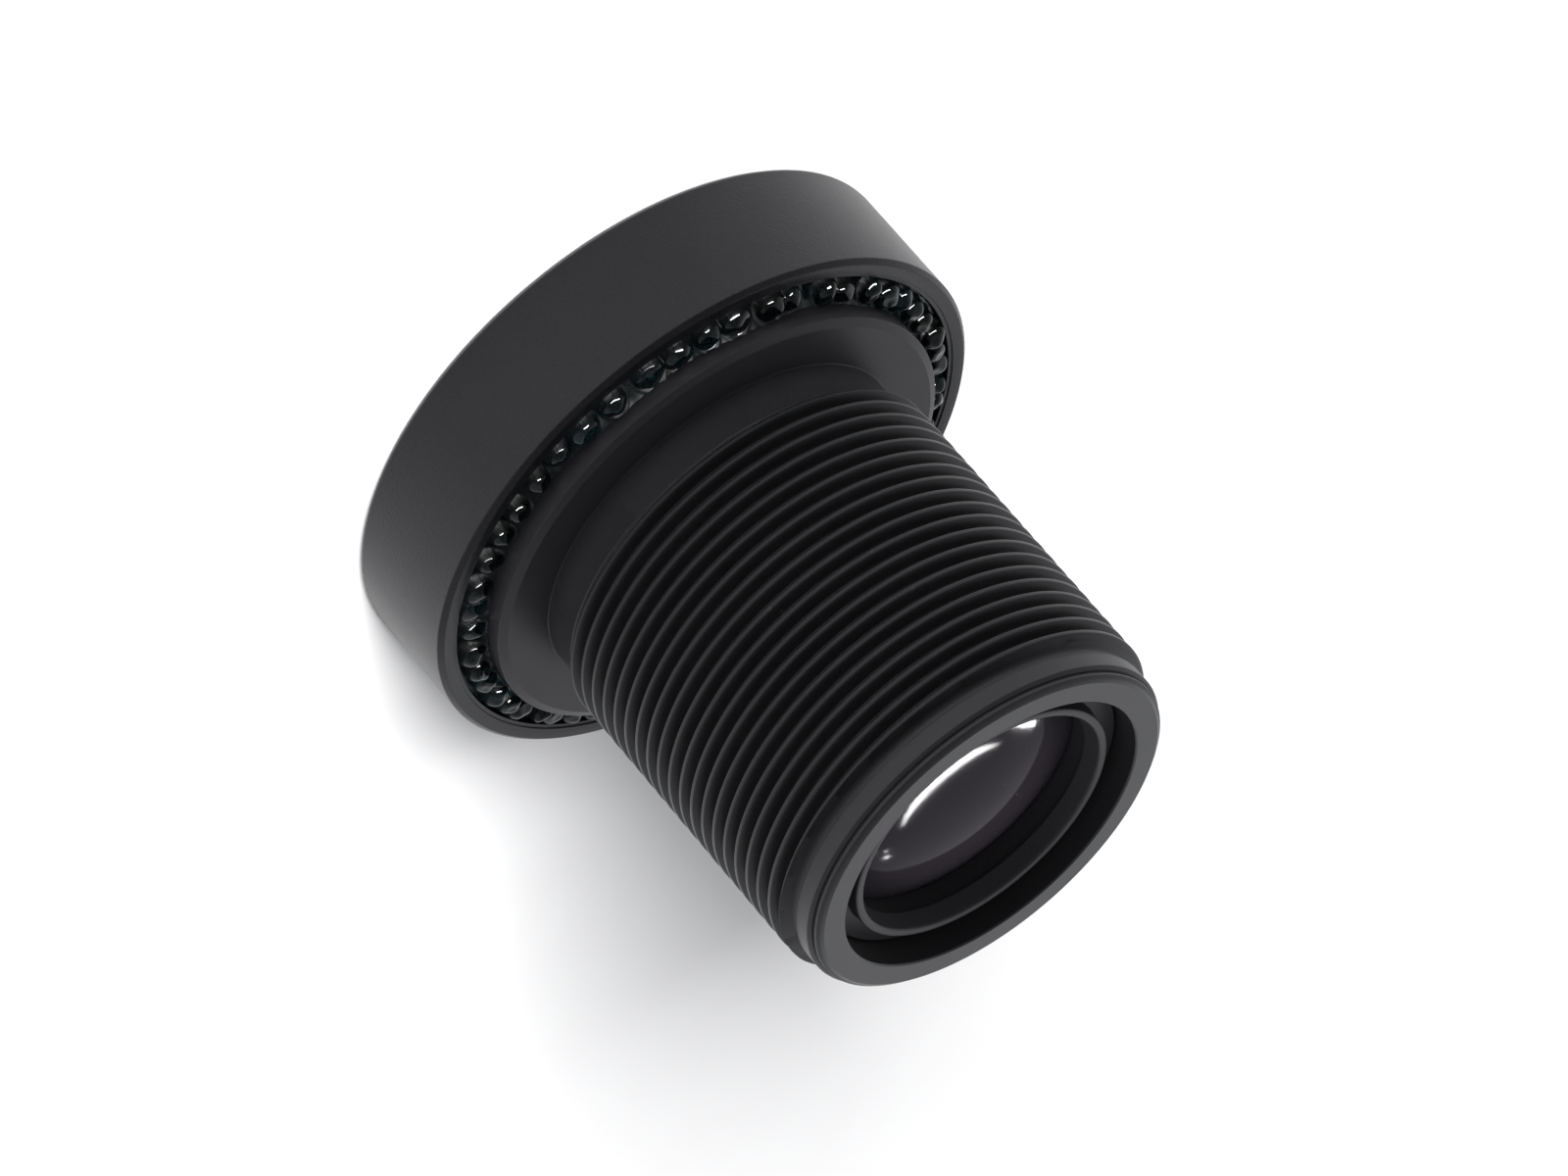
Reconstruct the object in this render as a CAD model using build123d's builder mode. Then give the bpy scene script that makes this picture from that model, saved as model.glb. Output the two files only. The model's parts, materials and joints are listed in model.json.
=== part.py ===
from build123d import *
import math
import os

# Fixed-focus board-camera lens with an M12 x 0.5 barrel, lengths in mm.
# It stands on its head: the front rim lies in the plane z = 0, centred on the
# origin, and +Z runs along the optical axis to the rear face at the sensor end.

# Threaded barrel, outside
thread_radius = 6.0
thread_root_depth = 0.31
thread_lead_chamfer = 0.28
thread_tail_chamfer = 0.18
boss_step = 1.16
boss_height = 0.66
boss_chamfer_width = 0.24
boss_chamfer_height = 0.11
neck_relief = 0.38
neck_length = 1.15
runout_relief = 0.40
runout_length = 0.35
land_relief = 0.30
land_length = 0.57
line_groove_depth = 0.05
line_groove_width = 0.07
lip_relief = 0.42
lip_length = 0.20
lip_chamfer_width = 0.17
lip_chamfer_height = 0.12

# Threaded barrel, inside
barrel_wall = 0.99
neck_wall = 1.02
front_wall = 0.71
front_seat_wall = 0.66
mouth_chamfer = 0.04
shoulder_width = 1.60

# Head ring
bezel_thickness = 0.60
bezel_overlap = 0.46
bezel_cone_width = 1.0
rim_width = 0.60
rim_front_chamfer = 0.20
rim_rear_chamfer = 0.13
rim_step_width = 0.12
rim_step_depth = 0.07
recess_depth = 0.72

# Adhesive bead between head ring and barrel
recess_width = 0.89
glue_outer_height = 0.42
glue_inner_height = 1.02
bead_fill = 0.45
bead_sink = 0.10
bead_spacing = 0.02

# Front retaining ring
front_ring_inset = 0.40
front_ring_length = 1.20
front_ring_land = 0.78
front_ring_taper = 0.20
front_notch_width = 0.90
front_notch_depth = 0.45

# Rear retaining ring
rear_ring_inset = 0.42
rear_collar_height = 0.48
rear_collar_step = 0.59
rear_ring_length = 0.75
rear_collar_width = 0.24
rear_throat_step = 0.12
rear_throat_length = 0.56
rear_undercut = 0.15

# Lens elements, edge thickness, bulge of each face and width of its flat land
front_element_centre = 0.724
front_element_bulge = 1.387
front_element_hollow = 2.363
front_element_front_land = 0.80
front_element_rear_land = 2.50
second_lens_centre = 0.527
second_lens_bulge = 0.384
second_lens_hollow = 0.857
second_lens_front_land = 0.65
second_lens_rear_land = 1.75
third_lens_edge = 1.70
third_lens_front_bulge = 0.758
third_lens_rear_bulge = 0.43
third_lens_front_land = 1.15
fourth_lens_edge = 1.00
fourth_lens_front_bulge = 0.55
fourth_lens_rear_bulge = 0.242
doublet_crown_edge = 0.20
doublet_crown_front_bulge = 0.408
doublet_bond_bulge = 1.088
doublet_bond_land = 1.05
doublet_flint_centre = 0.527
doublet_flint_bulge = 0.435
rear_group_land = 1.55
rear_lens_edge = 1.05
rear_lens_hollow = 0.31
rear_lens_bulge = 0.88
rear_lens_rear_land = 0.80

# Air gaps on the optical axis
gap_front_second = 3.479
gap_second_third = 0.799
gap_third_stop = 0.17
gap_stop_fourth = 0.15
gap_fourth_crown = 0.25
gap_flint_rear = 0.475

# Thin parts and seal
stop_thickness = 0.10
stop_aperture_radius = 1.50
baffle_thickness = 0.10
baffle_ring_width = 1.75
spacer_ring_width = 0.50
rear_spacer_ring_width = 1.35
seal_height = 0.55
seal_width = 0.54
seal_rounding = 0.16

# Clearances
lens_clearance = 0.05
screw_clearance = 0.04
bond_clearance = 0.02

# Radii of the barrel
boss_radius = thread_radius + boss_step
neck_radius = thread_radius - neck_relief
runout_radius = thread_radius - runout_relief
land_radius = thread_radius - land_relief
lip_radius = thread_radius - lip_relief
line_groove_radius = lip_radius - line_groove_depth
front_bore_radius = boss_radius - front_wall
front_cell_radius = neck_radius - neck_wall
rear_cell_radius = thread_radius - thread_root_depth - barrel_wall
stop_shoulder_radius = front_cell_radius - shoulder_width

# Radii of the pieces that sit in it
front_glass_radius = front_bore_radius - lens_clearance
front_group_radius = front_cell_radius - lens_clearance
rear_group_radius = rear_cell_radius - lens_clearance

# Stations along the axis, from the front rim to the rear face
barrel_front_z = bezel_thickness
front_ring_z = barrel_front_z + front_ring_inset
front_glass_front_z = front_ring_z + front_ring_length
front_glass_edge = front_element_centre + front_element_hollow - front_element_bulge
front_seat_z = front_glass_front_z + front_glass_edge
first_spacer_length = gap_front_second - front_element_hollow + second_lens_bulge
second_front_z = front_seat_z + first_spacer_length
second_edge = second_lens_centre + second_lens_hollow - second_lens_bulge
second_rear_z = second_front_z + second_edge
second_spacer_length = gap_second_third - second_lens_hollow + third_lens_front_bulge
third_front_z = second_rear_z + second_spacer_length
third_rear_z = third_front_z + third_lens_edge
shoulder_thickness = third_lens_rear_bulge + gap_third_stop
stop_z = third_rear_z + shoulder_thickness
third_spacer_z = stop_z + stop_thickness
fourth_front_z = third_spacer_z + gap_stop_fourth + fourth_lens_front_bulge
fourth_rear_z = fourth_front_z + fourth_lens_edge
crown_front_z = fourth_rear_z + fourth_lens_rear_bulge + gap_fourth_crown + doublet_crown_front_bulge
bond_z = crown_front_z + doublet_crown_edge
flint_edge = doublet_flint_centre + doublet_bond_bulge + bond_clearance - doublet_flint_bulge
flint_rear_z = bond_z + flint_edge
fifth_spacer_length = gap_flint_rear + doublet_flint_bulge - rear_lens_hollow - baffle_thickness
baffle_z = flint_rear_z + fifth_spacer_length
rear_lens_front_z = baffle_z + baffle_thickness
rear_lens_rear_z = rear_lens_front_z + rear_lens_edge
rear_ring_top_z = rear_lens_rear_z + rear_ring_length
rear_collar_z = rear_ring_top_z + rear_collar_height
rear_face_z = rear_collar_z + rear_ring_inset

# Stations along the outside of the barrel and head ring
boss_top_z = front_seat_z + front_seat_wall
head_length = boss_top_z - boss_height
thread_start_z = boss_top_z + neck_length
lip_z = rear_face_z - lip_length
line_groove_z = lip_z - line_groove_width
land_z = line_groove_z - land_length
thread_end_z = land_z - runout_length

# Head ring and adhesive
recess_radius = boss_radius + recess_width
head_radius = recess_radius + rim_width
recess_floor_z = head_length - recess_depth
bezel_radius = boss_radius - bezel_overlap
bezel_mouth_radius = bezel_radius + bezel_cone_width
bead_circle_radius = boss_radius + recess_width / 2
bead_radius = recess_width * bead_fill
bead_count = int(2 * math.pi * bead_circle_radius / (2 * bead_radius + bead_spacing))
glue_outer_z = recess_floor_z + glue_outer_height
glue_inner_z = recess_floor_z + glue_inner_height
bead_centre_z = (glue_outer_z + glue_inner_z) / 2 - bead_sink


# Half section of a lens element: domed or hollow faces with flat lands round them
def lens_outline(front_z, rear_z, rim_radius, front_clear, front_bulge, rear_clear, rear_bulge):
    TangentArc((0, front_z - front_bulge), (front_clear, front_z), tangent=(1, 0))
    Polyline((front_clear, front_z), (rim_radius, front_z), (rim_radius, rear_z), (rear_clear, rear_z))
    TangentArc((0, rear_z + rear_bulge), (rear_clear, rear_z), tangent=(1, 0))
    Line((0, rear_z + rear_bulge), (0, front_z - front_bulge))


# Half section of a plain spacer ring
def ring_outline(front_z, rear_z, outer_radius, inner_radius):
    Polyline(
        (inner_radius, front_z),
        (outer_radius, front_z),
        (outer_radius, rear_z),
        (inner_radius, rear_z),
        (inner_radius, front_z),
    )


# Barrel, turned outside: boss, neck, thread cylinder, run-out, land and rear lip
with BuildPart() as barrel:
    with BuildSketch(Plane.XZ):
        with BuildLine():
            Polyline((0, barrel_front_z), (boss_radius, barrel_front_z))
            Line((boss_radius, barrel_front_z), (boss_radius, boss_top_z - boss_chamfer_height))
            Polyline(
                (boss_radius, boss_top_z - boss_chamfer_height),
                (boss_radius - boss_chamfer_width, boss_top_z),
                (neck_radius, boss_top_z),
                (neck_radius, thread_start_z),
            )
            Polyline(
                (neck_radius, thread_start_z),
                (thread_radius - thread_lead_chamfer, thread_start_z),
                (thread_radius, thread_start_z + thread_lead_chamfer),
                (thread_radius, thread_end_z - thread_tail_chamfer),
                (thread_radius - thread_tail_chamfer, thread_end_z),
                (runout_radius, thread_end_z),
            )
            Polyline(
                (runout_radius, thread_end_z),
                (runout_radius, land_z),
                (land_radius, land_z),
                (land_radius, line_groove_z),
                (line_groove_radius, line_groove_z),
                (line_groove_radius, lip_z),
            )
            Polyline(
                (line_groove_radius, lip_z),
                (lip_radius, lip_z),
                (lip_radius, rear_face_z - lip_chamfer_height),
                (lip_radius - lip_chamfer_width, rear_face_z),
                (0, rear_face_z),
                (0, barrel_front_z),
            )
        make_face()
    revolve(axis=Axis.Z)
    # Bored from the front: mouth for the front element, then the front lens cell
    with BuildSketch(Plane.XY.offset(barrel_front_z)):
        Circle(front_bore_radius)
    extrude(amount=front_seat_z - barrel_front_z, mode=Mode.SUBTRACT)
    with BuildSketch(Plane.XY.offset(front_seat_z)):
        Circle(front_cell_radius)
    extrude(amount=third_rear_z - front_seat_z, mode=Mode.SUBTRACT)
    # Bored from the rear, with the light passing through the shoulder between the two cells
    with BuildSketch(Plane.XY.offset(rear_face_z)):
        Circle(rear_cell_radius)
    extrude(amount=stop_z - rear_face_z, mode=Mode.SUBTRACT)
    with BuildSketch(Plane.XY.offset(third_rear_z)):
        Circle(stop_shoulder_radius)
    extrude(amount=shoulder_thickness, mode=Mode.SUBTRACT)
    rear_mouth = barrel.faces().filter_by(Axis.Z).sort_by(Axis.Z)[-1].edges().sort_by(SortBy.RADIUS)[0]
    chamfer(rear_mouth, length=mouth_chamfer)

# Head ring: bezel at the front, plain bore over the boss, glue recess behind
with BuildPart() as head_ring:
    with BuildSketch(Plane.XZ):
        with BuildLine():
            Polyline(
                (bezel_mouth_radius, 0),
                (head_radius - rim_front_chamfer, 0),
                (head_radius, rim_front_chamfer),
                (head_radius, head_length - rim_rear_chamfer),
                (head_radius - rim_rear_chamfer, head_length),
                (recess_radius + rim_step_width, head_length),
                (recess_radius + rim_step_width, head_length - rim_step_depth),
                (recess_radius, head_length - rim_step_depth),
                (recess_radius, recess_floor_z),
                (boss_radius + screw_clearance, recess_floor_z),
                (boss_radius + screw_clearance, bezel_thickness),
                (bezel_radius, bezel_thickness),
                (bezel_mouth_radius, 0),
            )
        make_face()
    revolve(axis=Axis.Z)

# Adhesive: a flowed base that climbs the boss, with a ring of separate round dabs sunk into it
with BuildPart() as adhesive_ring:
    with BuildSketch(Plane.XZ):
        with BuildLine():
            Polyline(
                (boss_radius + bond_clearance, recess_floor_z),
                (recess_radius - bond_clearance, recess_floor_z),
                (recess_radius - bond_clearance, glue_outer_z),
                (boss_radius + bond_clearance, glue_inner_z),
                close=True,
            )
        make_face()
    revolve(axis=Axis.Z)
    with Locations((0, 0, bead_centre_z)):
        with PolarLocations(bead_circle_radius, bead_count):
            Sphere(bead_radius)

# Front retaining ring with two spanner notches
with BuildPart() as front_retaining_ring:
    with BuildSketch(Plane.XZ):
        with BuildLine():
            Polyline(
                (front_bore_radius - screw_clearance - front_ring_land, front_glass_front_z),
                (front_bore_radius - screw_clearance, front_glass_front_z),
                (front_bore_radius - screw_clearance, front_ring_z),
                (front_bore_radius - screw_clearance - front_ring_land + front_ring_taper, front_ring_z),
                (front_bore_radius - screw_clearance - front_ring_land, front_glass_front_z),
            )
        make_face()
    revolve(axis=Axis.Z)
    with BuildSketch(Plane.XY.offset(front_ring_z)):
        Rectangle(2 * boss_radius, front_notch_width)
    extrude(amount=front_notch_depth, mode=Mode.SUBTRACT)

# Front element: bulged outwards, deeply hollow behind, rebated for its seal
with BuildPart() as front_element:
    with BuildSketch(Plane.XZ):
        with BuildLine():
            TangentArc(
                (0, front_glass_front_z - front_element_bulge),
                (front_glass_radius - front_element_front_land, front_glass_front_z),
                tangent=(1, 0),
            )
            Polyline(
                (front_glass_radius - front_element_front_land, front_glass_front_z),
                (front_glass_radius, front_glass_front_z),
                (front_glass_radius, front_seat_z - seal_height),
                (front_glass_radius - seal_width, front_seat_z - seal_height),
                (front_glass_radius - seal_width, front_seat_z),
                (front_glass_radius - front_element_rear_land, front_seat_z),
            )
            TangentArc(
                (0, front_seat_z - front_element_hollow),
                (front_glass_radius - front_element_rear_land, front_seat_z),
                tangent=(1, 0),
            )
            Line((0, front_seat_z - front_element_hollow), (0, front_glass_front_z - front_element_bulge))
        make_face()
    revolve(axis=Axis.Z)

# Seal squeezed flat between the rebate of the front element and the barrel's seat
with BuildPart() as front_seal:
    with BuildSketch(Plane.XZ):
        with Locations((front_glass_radius - seal_width / 2 + bond_clearance, front_seat_z - seal_height / 2)):
            RectangleRounded(seal_width, seal_height, seal_rounding)
    revolve(axis=Axis.Z)

# First spacer
with BuildPart() as first_spacer:
    with BuildSketch(Plane.XZ):
        with BuildLine():
            ring_outline(
                front_seat_z,
                second_front_z,
                front_group_radius,
                front_group_radius - spacer_ring_width,
            )
        make_face()
    revolve(axis=Axis.Z)

# Second lens
with BuildPart() as second_lens:
    with BuildSketch(Plane.XZ):
        with BuildLine():
            lens_outline(
                second_front_z,
                second_rear_z,
                front_group_radius,
                front_group_radius - second_lens_front_land,
                second_lens_bulge,
                front_group_radius - second_lens_rear_land,
                -second_lens_hollow,
            )
        make_face()
    revolve(axis=Axis.Z)

# Second spacer
with BuildPart() as second_spacer:
    with BuildSketch(Plane.XZ):
        with BuildLine():
            ring_outline(
                second_rear_z,
                third_front_z,
                front_group_radius,
                front_group_radius - 2 * spacer_ring_width,
            )
        make_face()
    revolve(axis=Axis.Z)

# Third lens, seated on the barrel's inner shoulder
with BuildPart() as third_lens:
    with BuildSketch(Plane.XZ):
        with BuildLine():
            lens_outline(
                third_front_z,
                third_rear_z,
                front_group_radius,
                front_group_radius - third_lens_front_land,
                third_lens_front_bulge,
                stop_shoulder_radius - lens_clearance,
                third_lens_rear_bulge,
            )
        make_face()
    revolve(axis=Axis.Z)

# Aperture stop: a thin disc with the fixed iris hole
with BuildPart() as aperture_stop:
    with BuildSketch(Plane.XY.offset(stop_z)):
        Circle(rear_group_radius)
        Circle(stop_aperture_radius, mode=Mode.SUBTRACT)
    extrude(amount=stop_thickness)

# Third spacer
with BuildPart() as third_spacer:
    with BuildSketch(Plane.XZ):
        with BuildLine():
            ring_outline(
                third_spacer_z,
                fourth_front_z,
                rear_group_radius,
                rear_group_radius - rear_spacer_ring_width,
            )
        make_face()
    revolve(axis=Axis.Z)

# Fourth lens
with BuildPart() as fourth_lens:
    with BuildSketch(Plane.XZ):
        with BuildLine():
            lens_outline(
                fourth_front_z,
                fourth_rear_z,
                rear_group_radius,
                rear_group_radius - rear_group_land,
                fourth_lens_front_bulge,
                rear_group_radius - rear_group_land,
                fourth_lens_rear_bulge,
            )
        make_face()
    revolve(axis=Axis.Z)

# Fourth spacer
with BuildPart() as fourth_spacer:
    with BuildSketch(Plane.XZ):
        with BuildLine():
            ring_outline(
                fourth_rear_z,
                crown_front_z,
                rear_group_radius,
                rear_group_radius - rear_spacer_ring_width,
            )
        make_face()
    revolve(axis=Axis.Z)

# Crown element of the cemented doublet
with BuildPart() as doublet_crown:
    with BuildSketch(Plane.XZ):
        with BuildLine():
            lens_outline(
                crown_front_z,
                bond_z,
                rear_group_radius,
                rear_group_radius - rear_group_land,
                doublet_crown_front_bulge,
                rear_group_radius - doublet_bond_land,
                doublet_bond_bulge,
            )
        make_face()
    revolve(axis=Axis.Z)

# Flint element of the cemented doublet, hollow by the crown's bulge and the cement film
with BuildPart() as doublet_flint:
    with BuildSketch(Plane.XZ):
        with BuildLine():
            lens_outline(
                bond_z,
                flint_rear_z,
                rear_group_radius,
                rear_group_radius - doublet_bond_land + bond_clearance,
                -doublet_bond_bulge - bond_clearance,
                rear_group_radius - rear_group_land,
                doublet_flint_bulge,
            )
        make_face()
    revolve(axis=Axis.Z)

# Fifth spacer
with BuildPart() as fifth_spacer:
    with BuildSketch(Plane.XZ):
        with BuildLine():
            ring_outline(
                flint_rear_z,
                baffle_z,
                rear_group_radius,
                rear_group_radius - rear_spacer_ring_width,
            )
        make_face()
    revolve(axis=Axis.Z)

# Light baffle: a thin black foil ring whose edge reaches further in than the spacer
with BuildPart() as light_baffle:
    with BuildSketch(Plane.XY.offset(baffle_z)):
        Circle(rear_group_radius)
        Circle(rear_group_radius - baffle_ring_width, mode=Mode.SUBTRACT)
    extrude(amount=baffle_thickness)

# Rear lens: the domed element seen from the sensor end
with BuildPart() as rear_lens:
    with BuildSketch(Plane.XZ):
        with BuildLine():
            lens_outline(
                rear_lens_front_z,
                rear_lens_rear_z,
                rear_group_radius,
                rear_group_radius - rear_group_land,
                -rear_lens_hollow,
                rear_group_radius - rear_lens_rear_land,
                rear_lens_bulge,
            )
        make_face()
    revolve(axis=Axis.Z)

# Rear retaining ring with a raised collar round the rear lens
rear_ring_radius = rear_cell_radius - screw_clearance
collar_radius = rear_ring_radius - rear_collar_step
collar_mouth_radius = collar_radius - rear_collar_width
throat_radius = collar_mouth_radius - rear_throat_step
throat_z = rear_collar_z - rear_throat_length

with BuildPart() as rear_retaining_ring:
    with BuildSketch(Plane.XZ):
        with BuildLine():
            Polyline(
                (rear_ring_radius, rear_lens_rear_z),
                (rear_ring_radius, rear_ring_top_z),
                (collar_radius, rear_ring_top_z),
                (collar_radius, rear_collar_z),
                (collar_mouth_radius, rear_collar_z),
                (throat_radius, throat_z),
                (throat_radius + rear_undercut, throat_z),
                (rear_group_radius - rear_lens_rear_land + bond_clearance, rear_lens_rear_z),
                (rear_ring_radius, rear_lens_rear_z),
            )
        make_face()
    revolve(axis=Axis.Z)

barrel.part.label = "barrel"
head_ring.part.label = "head_ring"
adhesive_ring.part.label = "adhesive_ring"
front_retaining_ring.part.label = "front_retaining_ring"
front_element.part.label = "front_element"
front_seal.part.label = "front_seal"
first_spacer.part.label = "first_spacer"
second_lens.part.label = "second_lens"
second_spacer.part.label = "second_spacer"
third_lens.part.label = "third_lens"
aperture_stop.part.label = "aperture_stop"
third_spacer.part.label = "third_spacer"
fourth_lens.part.label = "fourth_lens"
fourth_spacer.part.label = "fourth_spacer"
doublet_crown.part.label = "doublet_crown"
doublet_flint.part.label = "doublet_flint"
fifth_spacer.part.label = "fifth_spacer"
light_baffle.part.label = "light_baffle"
rear_lens.part.label = "rear_lens"
rear_retaining_ring.part.label = "rear_retaining_ring"

os.makedirs("parts", exist_ok=True)
export_step(barrel.part, "parts/barrel.step")
export_step(head_ring.part, "parts/head_ring.step")
export_step(adhesive_ring.part, "parts/adhesive_ring.step")
export_step(front_retaining_ring.part, "parts/front_retaining_ring.step")
export_step(front_element.part, "parts/front_element.step")
export_step(front_seal.part, "parts/front_seal.step")
export_step(first_spacer.part, "parts/first_spacer.step")
export_step(second_lens.part, "parts/second_lens.step")
export_step(second_spacer.part, "parts/second_spacer.step")
export_step(third_lens.part, "parts/third_lens.step")
export_step(aperture_stop.part, "parts/aperture_stop.step")
export_step(third_spacer.part, "parts/third_spacer.step")
export_step(fourth_lens.part, "parts/fourth_lens.step")
export_step(fourth_spacer.part, "parts/fourth_spacer.step")
export_step(doublet_crown.part, "parts/doublet_crown.step")
export_step(doublet_flint.part, "parts/doublet_flint.step")
export_step(fifth_spacer.part, "parts/fifth_spacer.step")
export_step(light_baffle.part, "parts/light_baffle.step")
export_step(rear_lens.part, "parts/rear_lens.step")
export_step(rear_retaining_ring.part, "parts/rear_retaining_ring.step")
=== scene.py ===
# %% [markdown]
# # A board camera lens
# A small fixed-focus lens stands on its glued head ring, with the sensor end up. The CAD
# pieces are loaded as a fixed frame. Six outer ones get finer surfaces of the same size,
# worked out with numpy, and every piece gets a procedural finish. Lengths are in mm until
# a mesh is made, because that is how a lathe drawing gives them.

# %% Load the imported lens
import json
import math
import bmesh
import bpy
import numpy as np
from mathutils import Matrix, Vector


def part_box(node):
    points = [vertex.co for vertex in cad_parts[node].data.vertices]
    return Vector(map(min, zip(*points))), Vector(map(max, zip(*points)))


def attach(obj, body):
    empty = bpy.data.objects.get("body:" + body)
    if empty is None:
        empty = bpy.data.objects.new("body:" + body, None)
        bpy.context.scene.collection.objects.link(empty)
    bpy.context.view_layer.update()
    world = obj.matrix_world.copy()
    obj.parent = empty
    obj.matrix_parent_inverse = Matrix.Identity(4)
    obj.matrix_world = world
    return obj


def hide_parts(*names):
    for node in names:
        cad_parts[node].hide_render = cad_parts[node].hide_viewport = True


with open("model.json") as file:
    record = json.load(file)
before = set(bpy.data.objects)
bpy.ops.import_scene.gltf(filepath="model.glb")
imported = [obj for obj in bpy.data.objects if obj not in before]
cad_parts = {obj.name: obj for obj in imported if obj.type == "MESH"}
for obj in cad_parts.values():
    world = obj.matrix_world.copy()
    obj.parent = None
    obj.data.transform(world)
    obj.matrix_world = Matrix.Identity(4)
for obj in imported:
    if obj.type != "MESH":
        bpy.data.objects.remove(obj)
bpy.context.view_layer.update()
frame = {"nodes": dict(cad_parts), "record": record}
MM = 0.001
node_box = {name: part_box(name) for name in frame["nodes"]}
for name, (low, high) in sorted(node_box.items()):
    print(name, "z from", round(low.z / MM, 3), "to", round(high.z / MM, 3),
          "mm, radius", round(high.x / MM, 3))

# %% [markdown]
# ## Measures shared by the pieces
# The lens stands on its head: z = 0 is the front rim and +Z runs to the sensor end.
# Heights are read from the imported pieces, so every surface below starts and stops
# where its CAD piece does. What a box can't give is listed once here, in mm: first the
# outside from the boss to the rear face, then the bores, the stop and the glue recess.

# %% Heights and radii
def z_low(node):
    return node_box[node][0].z / MM


def z_high(node):
    return node_box[node][1].z / MM


def outer_radius(node):
    return node_box[node][1].x / MM


REAR_FACE_Z = z_high("barrel")
BOSS_TOP_Z = z_low("head_ring") + 4.56
THREAD_START_Z = BOSS_TOP_Z + 1.15
THREAD_END_Z = REAR_FACE_Z - 1.19
PITCH = 0.5
CREST_RADIUS = 5.975
THREAD_DEPTH = 0.305
NECK_RADIUS = 5.62
RUNOUT_RADIUS = 5.60
LAND_RADIUS = 5.70
LIP_RADIUS = 5.58
FRONT_BORE, FRONT_CELL, STOP_BORE, REAR_CELL = 6.45, 4.60, 3.0, 4.70
STOP_FRONT_Z, STOP_REAR_Z = 8.8, 9.4
BEZEL_Z = 0.6
CELL_FLOOR_Z = 3.9
GLUE_FLOOR_Z = 3.18
BOSS_RADIUS = outer_radius("barrel")
HEAD_RADIUS = outer_radius("head_ring")
HEAD_TOP_Z = z_high("head_ring")
RECESS_RADIUS = BOSS_RADIUS + 0.89
AROUND = 200  # columns in one turn of every turned surface
print("thread from", round(THREAD_START_Z, 3), "to", round(THREAD_END_Z, 3),
      "rear face at", round(REAR_FACE_Z, 3))

# %% [markdown]
# ## Turned surfaces
# Nearly every piece came off a lathe, so one profile turned about the optical axis
# describes it. A real tool leaves every corner slightly broken. Each corner is therefore
# an arc, with one more row just beyond each end of it: the smooth shading then bends
# only at the corner and leaves the flat faces flat.

# %% Profile with broken corners, and its surface of revolution
def broken_corners(corners, default=0.03, steps=4):
    """Rows (r, z) of a closed profile. At each corner P with neighbours A and B, the arc
    starts at P + t*(A - P)/|A - P| and ends at P + t*(B - P)/|B - P|, and follows the
    quadratic curve (1-s)^2 start + 2s(1-s) P + s^2 end; support rows lie 1.6 t away."""
    points = np.array([c[:2] for c in corners], float)
    cut = np.array([c[2] if len(c) > 2 else default for c in corners])
    to_last = np.roll(points, 1, 0) - points
    to_next = np.roll(points, -1, 0) - points
    len_last = np.linalg.norm(to_last, axis=1)
    len_next = np.linalg.norm(to_next, axis=1)
    cut = np.minimum(cut, 0.3 * np.minimum(len_last, len_next))[:, None]
    way_in, way_out = to_last / len_last[:, None], to_next / len_next[:, None]
    start, end = points + way_in * cut, points + way_out * cut
    s = np.linspace(0, 1, steps)[None, :, None]
    arc = (1 - s) ** 2 * start[:, None] + 2 * s * (1 - s) * points[:, None] + s ** 2 * end[:, None]
    before = (points + way_in * cut * 1.6)[:, None]
    after = (points + way_out * cut * 1.6)[:, None]
    return np.concatenate([before, arc, after], 1).reshape(-1, 2)


def grid_quads(rows, columns, close_rows=False, close_columns=False):
    """Corner numbers of the quads of a grid whose point (j, i) has the number j * columns + i.
    A closed way joins the last row or column to the first."""
    j = np.arange(rows if close_rows else rows - 1)[:, None]
    i = np.arange(columns if close_columns else columns - 1)[None, :]
    up, side = (j + 1) % rows, (i + 1) % columns
    quads = [j * columns + i, j * columns + side, up * columns + side, up * columns + i]
    return np.stack(quads, -1).reshape(-1, 4)


def make_mesh(name, vertices, faces):
    """Object with smooth faces from an (n, 3) array in mm and an (m, 4) array of corner numbers."""
    mesh = bpy.data.meshes.new(name)
    mesh.from_pydata((vertices * MM).tolist(), [], faces.tolist())
    mesh.polygons.foreach_set("use_smooth", np.ones(len(mesh.polygons), bool))
    mesh.update()
    obj = bpy.data.objects.new(name, mesh)
    bpy.context.scene.collection.objects.link(obj)
    return obj


def weld(obj, distance=0.0006):
    """Joins vertices closer than distance (mm), which also closes poles and drops empty faces."""
    work = bmesh.new()
    work.from_mesh(obj.data)
    bmesh.ops.remove_doubles(work, verts=work.verts, dist=distance * MM)
    bmesh.ops.dissolve_degenerate(work, edges=work.edges, dist=distance * MM * 0.1)
    work.to_mesh(obj.data)
    work.free()
    obj.data.polygons.foreach_set("use_smooth", np.ones(len(obj.data.polygons), bool))
    obj.data.update()
    return obj


def volume(obj):
    """Signed volume in mm3: the sum of p0 . (p1 x p2) / 6 over all triangles, which is
    above zero when the faces look outwards."""
    mesh = obj.data
    mesh.calc_loop_triangles()
    points = np.empty(len(mesh.vertices) * 3)
    mesh.vertices.foreach_get("co", points)
    corners = np.empty(len(mesh.loop_triangles) * 3, int)
    mesh.loop_triangles.foreach_get("vertices", corners)
    p0, p1, p2 = points.reshape(-1, 3)[corners.reshape(-1, 3)].transpose(1, 0, 2) / MM
    return float((p0 * np.cross(p1, p2)).sum() / 6)


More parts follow.
